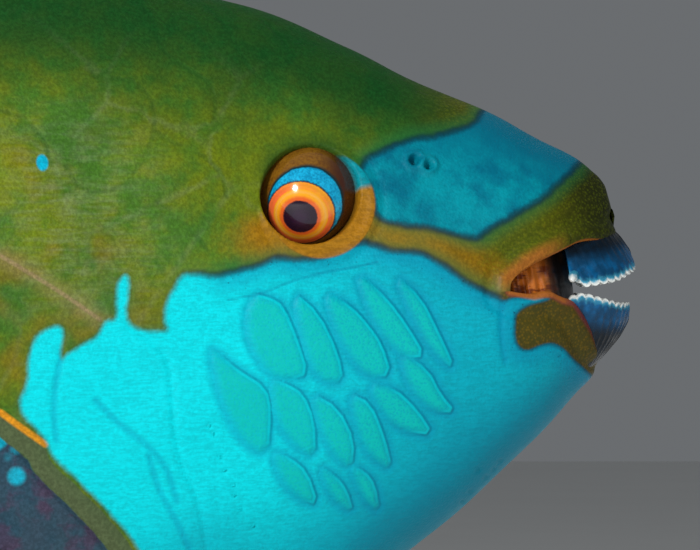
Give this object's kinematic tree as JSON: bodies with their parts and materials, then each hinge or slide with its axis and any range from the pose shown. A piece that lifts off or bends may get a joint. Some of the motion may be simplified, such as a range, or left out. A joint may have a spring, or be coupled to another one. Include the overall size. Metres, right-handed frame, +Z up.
{
  "type": "parrotfish model",
  "caption": "Life-size still model of a large male parrotfish with an open beak, raised fins and lobed tail, held nose up by rods on a flat base.",
  "frame": {"origin": "middle of the underside of the stand's base", "axes": "+X toward the snout, +Z up, the fish is alike on both sides of the XZ plane"},
  "size_m": [0.4042, 0.1328, 0.2109],
  "materials": {
    "head_skin": "wet scaled skin, olive and gold with turquoise fields",
    "cheek_skin": "wet scaled skin, bright turquoise",
    "body_skin": "wet scaled skin, green scales with lavender edges",
    "lip": "wet wrinkled skin, orange and olive",
    "beak": "glossy blue tooth plate with a white edge",
    "eye": "wet eyeball with orange and blue rings",
    "fin": "rayed fin web, turquoise and orange bands",
    "stand_plate": "dark satin lacquer",
    "stand_rod": "brushed"
  },
  "bodies": {
    "root": {"head": "head_skin", "lower_jaw": "cheek_skin", "upper_lip": "lip", "lower_lip": "lip", "upper_tooth_plate_right": "beak", "lower_tooth_plate_right": "beak", "eye_right": "eye", "gill_cover_right": "cheek_skin", "upper_tooth_plate_left": "beak", "lower_tooth_plate_left": "beak", "eye_left": "eye", "gill_cover_left": "cheek_skin", "trunk": "body_skin", "tail_base": "body_skin", "dorsal_fin": "fin", "anal_fin": "fin", "tail_fin": "fin", "pectoral_fin_right": "fin", "pelvic_fin_right": "fin", "pectoral_fin_left": "fin", "pelvic_fin_left": "fin", "stand_base": "stand_plate", "stand_rod_front": "stand_rod", "stand_rod_rear": "stand_rod"}
  },
  "joints": []
}
